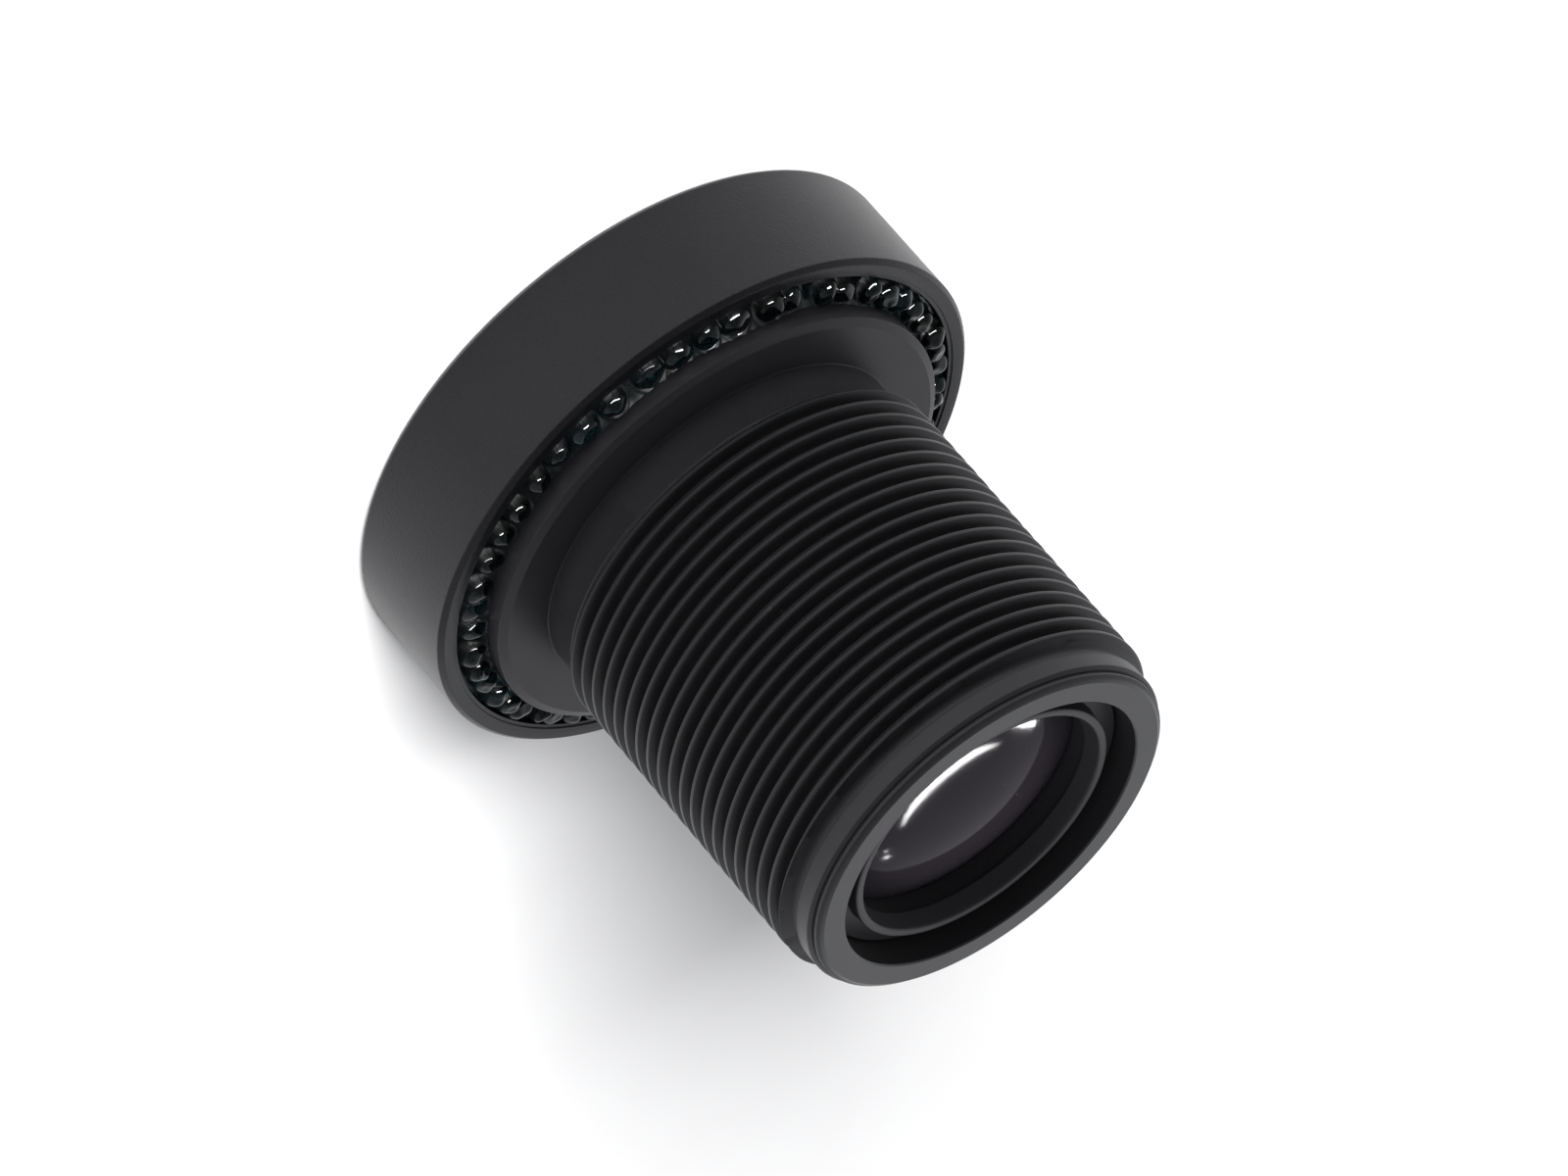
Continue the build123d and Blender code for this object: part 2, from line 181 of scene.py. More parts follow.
def turned_grid(rows, around, closed):
    """Vertices and quads of rows (r, z) turned about Z: x = r cos a, y = r sin a."""
    a = np.arange(around) * 2 * np.pi / around
    r, z = rows[:, 0][:, None], rows[:, 1][:, None]
    vertices = np.stack([r * np.cos(a), r * np.sin(a), z + 0 * a], -1).reshape(-1, 3)
    return vertices, grid_quads(len(rows), around, closed, True)


def turned_piece(name, rows, around=AROUND, closed=True):
    """A welded surface of revolution that stands for a CAD piece."""
    obj = weld(make_mesh(name, *turned_grid(rows, around, closed)))
    print(name, len(obj.data.polygons), "faces, volume", round(volume(obj), 1), "mm3")
    return obj

# %% [markdown]
# ## Barrel
# The real barrel is turned from bar, bored from both ends and then threaded. The thread
# is one continuous right-hand groove, so its rows climb one pitch in each turn. Its
# crests are broad and a little rounded, its flanks steep and its roots tight. The
# sheet is a grid of the angle and of the way along the groove. It starts a turn below
# and ends a turn above the threaded length, and two cones, the lead chamfer and the
# tail, cut it down. What lies outside is pressed flat on to the neck and the run-out,
# where welding closes it, which is how a real thread fades into its relief.

# %% Rows of the thread
# flank_share is the depth, from 0 at the crest to 1 at the root, at each share of a pitch.
flank = np.array([0.0, 0.04, 0.08, 0.115, 0.15, 0.20, 0.30, 0.42, 0.46])
flank_share = np.array([0.0, 0.001, 0.006, 0.022, 0.068, 0.20, 0.50, 0.89, 0.98])
thread_phase = np.concatenate([flank, [0.5], 1 - flank[:0:-1]])
thread_share = np.concatenate([flank_share, [1.0], flank_share[:0:-1]])
turns = int(math.ceil((THREAD_END_Z - THREAD_START_Z) / PITCH)) + 3
crest_z, crest_angle = 6.0, math.radians(-116.3)  # one crest seen in the photograph

phase = (np.arange(turns)[:, None] + thread_phase[None, :]).ravel()
depth = np.tile(thread_share, turns)
angle = np.arange(AROUND + 1) * 2 * np.pi / AROUND
whole_turns = np.floor((THREAD_START_Z - crest_z) / PITCH) - 2
start = crest_z + PITCH * (whole_turns - crest_angle / (2 * np.pi))
thread_z = start + PITCH * (phase[:, None] + angle[None, :] / (2 * np.pi))
print(len(phase), "rows,", turns, "turns laid,",
      round((THREAD_END_Z - THREAD_START_Z) / PITCH, 1), "shown")

# %% Thread sheet, with its lead chamfer and tail
# The crests wander by 2.5 microns, so that their sheen isn't quite even. The lead chamfer
# climbs at 45 degrees, and the tail falls three times as steeply.
crest_wander, lead_drop, tail_drop, tail_slope = 0.0025, 0.28, 0.06, 3
wander = crest_wander * np.sin(7 * angle + 1.3)[None, :] * np.sin(4.2 * thread_z)
thread_r = CREST_RADIUS - THREAD_DEPTH * depth[:, None] + wander
lead = CREST_RADIUS - lead_drop + (thread_z - THREAD_START_Z)
tail = CREST_RADIUS - tail_drop + tail_slope * (THREAD_END_Z - thread_z)
lead, tail = np.maximum(lead, NECK_RADIUS), np.maximum(tail, RUNOUT_RADIUS)
thread_r = np.minimum(thread_r, np.minimum(lead, tail))
below, above = thread_z <= THREAD_START_Z, thread_z >= THREAD_END_Z
thread_z = np.clip(thread_z, THREAD_START_Z, THREAD_END_Z)
thread_r = np.where(below, NECK_RADIUS, np.where(above, RUNOUT_RADIUS, thread_r))

# Quads that were pressed flat from end to end have no height and are left out.
sheet = np.stack([thread_r * np.cos(angle), thread_r * np.sin(angle), thread_z], -1)
sheet_faces = grid_quads(len(phase), len(angle))
corner_z = sheet.reshape(-1, 3)[sheet_faces][..., 2]
sheet_faces = sheet_faces[np.ptp(corner_z, axis=1) > 1e-6]
print("thread sheet", len(sheet_faces), "faces, radius", round(float(thread_r.min()), 3),
      "to", round(float(thread_r.max()), 3), "mm")

# %% Profile of the rest of the barrel
# Each corner is (radius, height, how much is broken off it), and each chamfer is (in, down).
LAND_START_Z, LAND_END_Z = REAR_FACE_Z - 0.84, REAR_FACE_Z - 0.27
BOSS_CHAMFER, LIP_CHAMFER, LAND_CHAMFER = (0.24, 0.11), (0.17, 0.12), (0.07, 0.08)
GROOVE_RADIUS = LIP_RADIUS - 0.035
outside_front = [(FRONT_BORE, BEZEL_Z, 0.05), (BOSS_RADIUS, BEZEL_Z, 0.05),
                 (BOSS_RADIUS, BOSS_TOP_Z - BOSS_CHAMFER[1], 0.02),
                 (BOSS_RADIUS - BOSS_CHAMFER[0], BOSS_TOP_Z, 0.02),
                 (NECK_RADIUS, BOSS_TOP_Z, 0.03), (NECK_RADIUS, THREAD_START_Z, 0.0)]
land = [(RUNOUT_RADIUS, THREAD_END_Z, 0.0), (RUNOUT_RADIUS, LAND_START_Z, 0.08),
        (LAND_RADIUS, LAND_START_Z, 0.04), (LAND_RADIUS, LAND_END_Z - LAND_CHAMFER[1], 0.02),
        (LAND_RADIUS - LAND_CHAMFER[0], LAND_END_Z, 0.02)]
fine_groove = [(GROOVE_RADIUS, LAND_END_Z + 0.015, 0.015), (GROOVE_RADIUS, LAND_END_Z + 0.06, 0.01)]
lip = [(LIP_RADIUS, LAND_END_Z + 0.075, 0.01), (LIP_RADIUS, REAR_FACE_Z - LIP_CHAMFER[1], 0.02),
       (LIP_RADIUS - LIP_CHAMFER[0], REAR_FACE_Z, 0.02),
       (REAR_CELL + 0.04, REAR_FACE_Z, 0.02), (REAR_CELL, REAR_FACE_Z - 0.04, 0.02)]
inside = [(REAR_CELL, STOP_REAR_Z, 0.05), (STOP_BORE, STOP_REAR_Z, 0.03),
          (STOP_BORE, STOP_FRONT_Z, 0.03), (FRONT_CELL, STOP_FRONT_Z, 0.05),
          (FRONT_CELL, CELL_FLOOR_Z, 0.05), (FRONT_BORE, CELL_FLOOR_Z, 0.05)]
profile = broken_corners(outside_front + land + fine_groove + lip + inside)
print("barrel profile of", len(profile), "rows, land from", round(LAND_START_Z, 3), "mm")

# %% [markdown]
# The profile is a closed loop, and the thread sheet has to take the place of one stretch
# of it, from the neck to the run-out. So the loop is turned until that stretch lies
# between its last row and its first, and is then left open. Sheet and body share their
# border points, which the weld joins. Counting the faces at each edge shows that the
# barrel has closed: on a closed surface each edge has two.

# %% Barrel, welded to the thread sheet
at_neck = np.abs(profile[:, 0] - NECK_RADIUS) < 1e-6
gap_row = np.flatnonzero(at_neck & (np.abs(profile[:, 1] - THREAD_START_Z) < 1e-6))[-1]
profile = np.roll(profile, -(gap_row + 1), 0)
body_vertices, body_faces = turned_grid(profile, AROUND, False)
sheet_vertices = sheet.reshape(-1, 3)
barrel = make_mesh("barrel_threaded", np.concatenate([sheet_vertices, body_vertices]),
                   np.concatenate([sheet_faces, body_faces + len(sheet_vertices)]))
weld(barrel)
loop_edges = np.empty(len(barrel.data.loops), int)
barrel.data.loops.foreach_get("edge_index", loop_edges)
uses = np.bincount(loop_edges)
print("barrel", len(barrel.data.polygons), "faces, volume", round(volume(barrel), 1), "mm3,",
      int((uses != 2).sum()), "edges not shared by two faces")
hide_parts("barrel")

# %% [markdown]
# ## Head ring
# A wide plain ring, blasted before anodising, with a bezel at the front. Behind it a
# shallow recess with a fine step at its edge holds the adhesive. It is one more profile
# turned about the axis, because nothing on the ring departs from round.

# %% Head ring profile
MOUTH_RADIUS, BEZEL_RADIUS = 7.70, 6.70
front_chamfer, rear_chamfer, rim_sag = 0.20, 0.13, 0.008
step_radius, step_z, bore_radius = RECESS_RADIUS + 0.12, HEAD_TOP_Z - 0.07, BOSS_RADIUS + 0.04
head_outside = [(MOUTH_RADIUS, 0, 0.04), (HEAD_RADIUS - front_chamfer, 0, 0.05),
                (HEAD_RADIUS, front_chamfer, 0.06), (HEAD_RADIUS, HEAD_TOP_Z - rear_chamfer, 0.03),
                (HEAD_RADIUS - rear_chamfer, HEAD_TOP_Z, 0.03),
                (HEAD_RADIUS - 0.30, HEAD_TOP_Z - rim_sag, 0.06),
                (step_radius, HEAD_TOP_Z - 0.03, 0.02)]
head_inside = [(step_radius, step_z, 0.02), (RECESS_RADIUS, step_z, 0.02),
               (RECESS_RADIUS, GLUE_FLOOR_Z, 0.03), (bore_radius, GLUE_FLOOR_Z, 0.03),
               (bore_radius, BEZEL_Z, 0.03), (BEZEL_RADIUS, BEZEL_Z, 0.03)]
head_rows = broken_corners(head_outside + head_inside)
head_ring = turned_piece("head_ring_turned", head_rows)
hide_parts("head_ring")

# %% [markdown]
# ## Adhesive
# Dabs of dark adhesive were set round the joint one after another and ran together at
# their feet, where the glue climbs the wall of the boss. The whole bead is one height
# field over the ring between boss and recess. Each dab is the upper half of a rounded
# body with a slow swirl in its surface, which bends the glints. Neighbours differ a
# little in place, size and height, and the hand that set them slowed down on one side,
# so they grow wider there. Where two dabs meet, a thin skin forms a ridge. Its share,
# raised on one side as a painted sheen, is kept on the vertices for the material.

# %% Places and sizes of the dabs
rng = np.random.default_rng(12)
dabs, per_dab, across = 58, 28, 34
wall_gap, dab_height, bead_height, slowing = 0.02, 0.40, 0.62, 0.20
inner, outer = BOSS_RADIUS + wall_gap, RECESS_RADIUS - wall_gap
high_z = z_high("adhesive_ring")
low_z, dab_z = high_z - bead_height, high_z - dab_height
theta = np.arange(dabs * per_dab) * 2 * np.pi / (dabs * per_dab)
rho = inner + (outer - inner) * (0.5 - 0.5 * np.cos(np.linspace(0, np.pi, across)))
place = (np.arange(dabs) + 0.5 + rng.uniform(-0.20, 0.20, dabs)) * 2 * np.pi / dabs
half_wide = rng.uniform(0.66, 1.06, dabs) * np.pi / dabs * (1 - slowing * np.sin(place))
place = place + slowing * np.cos(place)
middle = (inner + outer) / 2 + rng.uniform(-0.07, 0.03, dabs)
half_deep = rng.uniform(0.34, 0.45, dabs)
height = dab_height * rng.uniform(0.70, 1.0, dabs)
swirl_u, swirl_v = rng.uniform(0, 2 * np.pi, (2, dabs))
print(dabs, "dabs,", round(float(height.min()), 2), "to", round(float(height.max()), 2), "mm high")

# %% Domes of the dabs
# u and v are distances from each dab's middle, in its own half widths: 1 is its edge. A
# dome is height * sqrt(1 - u^2 - v^2), times a swirl of sines that sinks it by up to a quarter.
off = (theta[:, None] - place[None, :] + np.pi) % (2 * np.pi) - np.pi
u = off / half_wide[None, :]
v = (rho[:, None] - middle[None, :]) / half_deep[None, :]
far = u[:, None, :] ** 2 + v[None, :, :] ** 2
swirl = np.sin(4.0 * u + swirl_u)[:, None, :] * np.sin(3.4 * v + swirl_v)[None, :, :]
dome = dab_z + height * np.sqrt(np.clip(1 - far, 0, None)) * (0.88 + 0.12 * swirl)
dome = np.where(far < 1, dome, low_z).max(2)
near = np.sqrt(far.min(2))
print("domes cover", round(100 * float((near < 1).mean())), "% of the bead")

# %% [markdown]
# Between the domes lies the bed. It climbs the boss's wall with the square of the way in
# from the recess, has a narrow lip at the recess's wall, and is a little lumpy. The skin
# is a ridge just outside each dab's edge. Its share is raised on the side that lies at the
# lower left in the photograph, as a painted sheen of the bright surround there.

# %% Bed and skin
skin_at, bed_z, lip_high, lip_wide = 1.06, low_z - 0.04, 0.05, 0.05
t = (outer - rho)[None, :] / (outer - inner)
climb = 0.42 + 0.07 * np.sin(3 * theta + 1.0) + 0.05 * np.sin(11 * theta)
bed = bed_z + climb[:, None] * t ** 2 + lip_high * np.exp(-(outer - rho) / lip_wide)[None, :]
bed = bed + 0.03 * np.exp(-((near - skin_at) / 0.10) ** 2)
lumps = np.sin(41 * theta[:, None] + 5 * rho) * np.sin(67 * theta[:, None] - 7 * rho)
bed = bed + 0.018 * lumps
skin_and_sheen = np.exp(-((near - skin_at) / 0.11) ** 2)
skin_and_sheen = np.maximum(skin_and_sheen, np.where(near > 1, 0.30, 0.0))
# Painted sheen: the skin's share, and so its pale colour, is raised on the side facing -20 degrees,
# where the bright surround lies.
painted_sheen_side = 0.5 + 0.5 * np.cos(theta - math.radians(-20))
patchy = 0.8 + 0.2 * np.sin(9 * theta + 2 * np.sin(5 * theta))
skin_and_sheen = skin_and_sheen * (0.35 + 0.65 * painted_sheen_side)[:, None] * patchy[:, None]
top_z = np.clip(np.maximum(dome, bed), low_z - 0.05, high_z)
print("bead from", round(float(top_z.min()), 3), "to", round(float(top_z.max()), 3), "mm")

# %% Adhesive mesh
# The top sheet is closed by its two walls and a flat floor, all rings of the same points.
top = np.stack([rho * np.cos(theta[:, None]), rho * np.sin(theta[:, None]), top_z], -1)
foot = np.stack([np.cos(theta), np.sin(theta), 0 * theta], -1)
floor_in = foot * inner + np.array([0, 0, GLUE_FLOOR_Z])
floor_out = foot * outer + np.array([0, 0, GLUE_FLOOR_Z])
layers = np.concatenate([floor_in[None], floor_out[None], top.transpose(1, 0, 2)[::-1]])
glue_faces = grid_quads(len(layers), len(theta), True, True)
adhesive = make_mesh("adhesive_dabs", layers.reshape(-1, 3), glue_faces)
share = np.concatenate([np.zeros((2, len(theta))), skin_and_sheen.T[::-1]]).ravel()
attribute = adhesive.data.attributes.new("skin_and_sheen", "FLOAT", "POINT")
attribute.data.foreach_set("value", share.astype(np.float32))
print("adhesive", len(glue_faces), "faces, volume", round(volume(adhesive), 1), "mm3")
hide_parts("adhesive_ring")

# %% [markdown]
# ## Rear retaining ring and the two outer lenses
# The ring's collar has a rounded bright lip and an inner cone that ends in a dark gap.
# The lenses are ground spheres with flat lands, and a spherical face of bulge b over the
# clear radius c has the radius (c^2 + b^2) / 2b. Their rows lie closer together towards
# the land, so the outline of the glass stays smooth.

# %% Rear retaining ring
ring_low, ring_high = z_low("rear_retaining_ring"), z_high("rear_retaining_ring")
shelf_z, cone_foot_z = ring_high - 0.48, ring_high - 0.56
RING_RADIUS, COLLAR_RADIUS, COLLAR_MOUTH, CONE_FOOT = 4.66, 4.07, 3.83, 3.71
ring_outside = [(3.87, ring_low, 0.02), (RING_RADIUS, ring_low, 0.03), (RING_RADIUS, shelf_z, 0.03)]
ring_collar = [(COLLAR_RADIUS, shelf_z, 0.04), (COLLAR_RADIUS, ring_high, 0.06),
               (COLLAR_MOUTH, ring_high, 0.06), (CONE_FOOT, cone_foot_z, 0.03),
               (3.86, cone_foot_z, 0.02)]
rear_ring = turned_piece("rear_ring_turned", broken_corners(ring_outside + ring_collar))
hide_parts("rear_retaining_ring")

# %% Lens faces
def spherical_rows(clear, land_z, bulge, rows=26):
    """Rows from the axis to the land: z = apex + sign * (R - sqrt(R^2 - r^2))."""
    radius = (clear ** 2 + bulge ** 2) / (2 * abs(bulge))
    r = clear * np.sin(np.linspace(0, np.pi / 2, rows)) ** 0.9
    drop = radius - np.sqrt(radius ** 2 - r ** 2)
    return np.stack([r, land_z + bulge - np.sign(bulge) * drop], 1)


def lens_piece(name, front_clear, front_z, front_bulge, rim, rear_clear, rear_z, rear_bulge):
    """A closed lens: front face from the axis out, rim, rear face back to the axis. A face
    is domed where its bulge is above zero and hollow where it is below."""
    front = spherical_rows(front_clear, front_z, -front_bulge)
    rear = spherical_rows(rear_clear, rear_z, rear_bulge)[::-1]
    return turned_piece(name, np.concatenate([front, rim, rear]), LENS_AROUND, False)


LENS_AROUND = 192
CORNER_ROWS = len(broken_corners([(0, 0), (1, 0), (1, 1)])) // 3
print("a broken corner takes", CORNER_ROWS, "rows")

# %% Rear lens
# The first and last corners only steer the rim, so their rows are cut off.
REAR_GLASS = 4.65
rear_low, rear_land = z_low("rear_lens"), z_low("rear_retaining_ring")
rear_rim = broken_corners([(3.2, rear_low, 0.0), (REAR_GLASS, rear_low, 0.04),
                           (REAR_GLASS, rear_land, 0.04),
                           (3.93, rear_land, 0.0)])[CORNER_ROWS:-CORNER_ROWS]
REAR_CLEAR, REAR_BULGE = 3.85, z_high("rear_lens") - rear_land
rear_lens = lens_piece("rear_lens_ground", 3.10, rear_low, -0.31, rear_rim,
                       REAR_CLEAR, rear_land, REAR_BULGE)
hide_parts("rear_lens")

# %% Front lens
# A step in its rim makes room for the seal in front of the barrel's seat.
FRONT_GLASS, SEAL_STEP = 6.40, 5.86
front_land, seat = z_high("front_retaining_ring"), z_high("front_element")
seal_z = seat - 0.55
front_rim = broken_corners([(5.68, front_land, 0.0), (FRONT_GLASS, front_land, 0.05),
                            (FRONT_GLASS, seal_z, 0.03), (SEAL_STEP, seal_z, 0.03),
                            (SEAL_STEP, seat, 0.03),
                            (3.98, seat, 0.0)])[CORNER_ROWS:-CORNER_ROWS]
front_lens = lens_piece("front_lens_ground", 5.60, front_land, 1.387, front_rim, 3.90, seat, -2.363)
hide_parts("front_element")

# %% [markdown]
# ## Finishes
# Two effects are shared: a fine grain with dust specks, on every piece, and the faint
# rings that a turning tool leaves, on the metal. Each is one shader group that gives out
# masks and heights only. Both read Object coordinates, in metres, so the patterns keep
# their real size.

# %% Shader groups
def new_group(name, outputs, inputs=()):
    """An empty shader group with named float inputs (name, default) and outputs."""
    group = bpy.data.node_groups.new(name, "ShaderNodeTree")
    for label, value in inputs:
        socket = group.interface.new_socket(label, in_out="INPUT", socket_type="NodeSocketFloat")
        socket.default_value = value
    for label in outputs:
        group.interface.new_socket(label, in_out="OUTPUT", socket_type="NodeSocketFloat")
    return group, group.nodes.new("NodeGroupInput"), group.nodes.new("NodeGroupOutput")


def noise_node(tree, scale, detail=2.0, dimensions="3D"):
    """Noise with about scale bumps a metre."""
    node = tree.nodes.new("ShaderNodeTexNoise")
    node.noise_dimensions = dimensions
    node.inputs["Scale"].default_value = scale
    node.inputs["Detail"].default_value = detail
    return node


def remap(tree, source, low, high, to_low=0.0, to_high=1.0):
    """The source stretched in a straight line from low..high to to_low..to_high, and held there."""
    node = tree.nodes.new("ShaderNodeMapRange")
    ends = {"From Min": low, "From Max": high, "To Min": to_low, "To Max": to_high}
    for label, value in ends.items():
        node.inputs[label].default_value = value
    tree.links.new(source, node.inputs["Value"])
    return node.outputs["Result"]


# %% Grain group
grain_group, _, grain_out = new_group("metal_grain", ["Grain", "Blotch", "Dust"])
coords = grain_group.nodes.new("ShaderNodeTexCoord")
fine = noise_node(grain_group, 16000, 3)
broad = noise_node(grain_group, 420, 3)
specks = grain_group.nodes.new("ShaderNodeTexVoronoi")
specks.inputs["Scale"].default_value = 1500
rare = noise_node(grain_group, 900, 1)
for node in (fine, broad, specks, rare):
    grain_group.links.new(coords.outputs["Object"], node.inputs["Vector"])

# Dust is a speck's middle, and only where the broad noise of rare is high.
dot = remap(grain_group, specks.outputs["Distance"], 0.10, 0.05)
few = remap(grain_group, rare.outputs["Fac"], 0.55, 0.62)
dust = grain_group.nodes.new("ShaderNodeMath")
dust.operation = "MULTIPLY"
grain_group.links.new(dot, dust.inputs[0])
grain_group.links.new(few, dust.inputs[1])

# Blotch is half broad clouds and half fine grain.
tone = grain_group.nodes.new("ShaderNodeMix")
tone.inputs["Factor"].default_value = 0.5
grain_group.links.new(remap(grain_group, broad.outputs["Fac"], 0.3, 0.7), tone.inputs[2])
grain_group.links.new(remap(grain_group, fine.outputs["Fac"], 0.35, 0.65), tone.inputs[3])
grain_group.links.new(fine.outputs["Fac"], grain_out.inputs["Grain"])
grain_group.links.new(tone.outputs[0], grain_out.inputs["Blotch"])
grain_group.links.new(dust.outputs["Value"], grain_out.inputs["Dust"])
print("grain group gives", [socket.name for socket in grain_group.interface.items_tree])

# %% Turning group
# A one-dimensional noise of radius + height gives rings on a face and on a cylinder alike.
turning_group, turning_in, turning_out = new_group(
    "turning_rings", ["Height"], [("Lines per metre", 9000.0)])
coords = turning_group.nodes.new("ShaderNodeTexCoord")
split = turning_group.nodes.new("ShaderNodeSeparateXYZ")
flat = turning_group.nodes.new("ShaderNodeCombineXYZ")
length = turning_group.nodes.new("ShaderNodeVectorMath")
length.operation = "LENGTH"
total = turning_group.nodes.new("ShaderNodeMath")
total.operation = "ADD"
rings = noise_node(turning_group, 1.0, 2, "1D")
turning_group.links.new(coords.outputs["Object"], split.inputs[0])
turning_group.links.new(split.outputs["X"], flat.inputs["X"])
turning_group.links.new(split.outputs["Y"], flat.inputs["Y"])
turning_group.links.new(flat.outputs[0], length.inputs[0])
turning_group.links.new(length.outputs["Value"], total.inputs[0])
turning_group.links.new(split.outputs["Z"], total.inputs[1])
turning_group.links.new(total.outputs["Value"], rings.inputs["W"])
turning_group.links.new(turning_in.outputs["Lines per metre"], rings.inputs["Scale"])
turning_group.links.new(rings.outputs["Fac"], turning_out.inputs["Height"])
print("turning group has", [socket.name for socket in turning_group.interface.items_tree])

# %% [markdown]
# Black anodising is a thin dyed oxide on aluminium: nearly black, with a satin sheen that
# brightens at grazing angles. Dust shows as a few pale specks, and on the smooth head ring
# as dark ones. The barrel's neck and boss below the thread are painted paler, as painted
# light, and the land and rear face above it carry a paler painted sheen. These painted
# tones change with height only, so a mask from the Z coordinate is enough.

# %% Anodised aluminium
MICRON = 0.000001


def new_material(name):
    """A material, its node tree and its Principled shader."""
    material = bpy.data.materials.new(name)
    material.use_nodes = True
    tree = material.node_tree
    return material, tree, tree.nodes["Principled BSDF"]


def use_group(tree, group):
    """Places a shader group in a material's tree."""
    node = tree.nodes.new("ShaderNodeGroup")
    node.node_tree = group
    return node


def mix_colours(tree, share, first, second):
    """Base colours mixed by a share; each of first and second is a colour or an output."""
    node = tree.nodes.new("ShaderNodeMix")
    node.data_type = "RGBA"
    tree.links.new(share, node.inputs["Factor"])
    for value, socket in ((first, node.inputs[6]), (second, node.inputs[7])):
        if isinstance(value, tuple):
            socket.default_value = (*value, 1)
        else:
            tree.links.new(value, socket)
    return node.outputs[2]


def anodised(name, dark, light, speck, rough, shine, grain_depth, ring_depth, lines=9000.0,
             bright_above=None, painted_light_below=None, land=None):
    """Satin anodised aluminium. The depths, in metres, are the heights of the grain and of
    the turning rings. What lies above the height bright_above was turned last and shines
    more. Below the thread a paler colour is painted light on the neck and boss, and above
    it another paler colour is a painted sheen on the land and rear face."""
    material, tree, shader = new_material(name)
    grain = use_group(tree, grain_group)
    turning = use_group(tree, turning_group)
    turning.inputs["Lines per metre"].default_value = lines
    body = mix_colours(tree, grain.outputs["Blotch"], dark, light)
    place = tree.nodes.new("ShaderNodeTexCoord")
    split = tree.nodes.new("ShaderNodeSeparateXYZ")
    tree.links.new(place.outputs["Object"], split.inputs[0])
    # Painted light: below the thread the neck and boss take a paler colour, and above it the land
    # and rear face take a paler painted sheen.
    if painted_light_below:
        low, high = THREAD_START_Z * MM, (THREAD_START_Z + 0.3) * MM
        body = mix_colours(tree, remap(tree, split.outputs["Z"], low, high), painted_light_below, body)
        low, high = THREAD_END_Z * MM, (THREAD_END_Z + 0.2) * MM
        body = mix_colours(tree, remap(tree, split.outputs["Z"], low, high), body, land)
    body = mix_colours(tree, grain.outputs["Dust"], body, speck)
    tree.links.new(body, shader.inputs["Base Color"])
    uneven = remap(tree, grain.outputs["Blotch"], 0, 1, rough - 0.03, rough + 0.04)
    tree.links.new(uneven, shader.inputs["Roughness"])
    first = tree.nodes.new("ShaderNodeBump")
    first.inputs["Distance"].default_value = grain_depth
    tree.links.new(grain.outputs["Grain"], first.inputs["Height"])
    second = tree.nodes.new("ShaderNodeBump")
    second.inputs["Distance"].default_value = ring_depth
    tree.links.new(turning.outputs["Height"], second.inputs["Height"])
    tree.links.new(first.outputs["Normal"], second.inputs["Normal"])
    tree.links.new(second.outputs["Normal"], shader.inputs["Normal"])
    shader.inputs["Specular IOR Level"].default_value = shine
    shader.inputs["Specular Tint"].default_value = (0.94, 0.93, 1.0, 1)
    if bright_above:
        edge = bright_above - 40 * MICRON
        coat = remap(tree, split.outputs["Z"], edge, bright_above, 0.0, 0.42)
        tree.links.new(coat, shader.inputs["Coat Weight"])
        shader.inputs["Coat Roughness"].default_value = 0.30
    return material


# %% Metal finishes
# Each row gives the two tones, the specks, roughness, shine, grain depth and ring depth.
pale_dust, dark_spot = (0.035, 0.035, 0.034), (0.004, 0.004, 0.005)
# The barrel's paler colours below and above the thread are painted light on the neck and boss and a
# painted sheen on the land.
barrel_finish = anodised(
    "anodised_barrel", (0.012, 0.012, 0.013), (0.018, 0.018, 0.019), pale_dust, 0.40, 0.215,
    4 * MICRON, 2 * MICRON, bright_above=(REAR_FACE_Z - 0.03) * MM,
    painted_light_below=(0.042, 0.0411, 0.0464), land=(0.032, 0.0315, 0.0345))
head_finish = anodised(
    "anodised_head", (0.007, 0.0068, 0.0088), (0.015, 0.0147, 0.0175), dark_spot, 0.34, 0.30,
    10 * MICRON, 0.4 * MICRON)
# The rings are black anodising painted a paler grey, so that the collar's inner wall shows painted
# light.
ring_finish_painted_light = anodised(
    "anodised_rings_painted_light", (0.046, 0.045, 0.049), (0.060, 0.059, 0.063), pale_dust, 0.40, 0.30,
    3 * MICRON, 2 * MICRON)
spacer_finish = anodised(
    "anodised_spacers", (0.004, 0.004, 0.004), (0.006, 0.006, 0.006), pale_dust, 0.62, 0.30,
    3 * MICRON, 4 * MICRON, 5000.0)
print("metal finishes", [m.name for m in (barrel_finish, head_finish, ring_finish_painted_light, spacer_finish)])

# %% [markdown]
# The adhesive is black with a trace of teal, wet-looking, and pale only in the thin skins, whose
# paleness is a painted sheen.
# So its colour, roughness and coat follow the skin kept on the mesh, and the teal follows
# the shared grain. The wet shine is a clear coat, because a coat can fade out over the skins,
# while the specular level of the body has to be one plain number.

# %% Adhesive
adhesive_finish, tree, shader = new_material("cured_adhesive")
skin_value = tree.nodes.new("ShaderNodeAttribute")
skin_value.attribute_name = "skin_and_sheen"
thin = skin_value.outputs["Fac"]
grain = use_group(tree, grain_group)
teal_share = remap(tree, grain.outputs["Blotch"], 0.48, 0.66)
teal = mix_colours(tree, teal_share, (0.002, 0.003, 0.0035), (0.008, 0.025, 0.029))
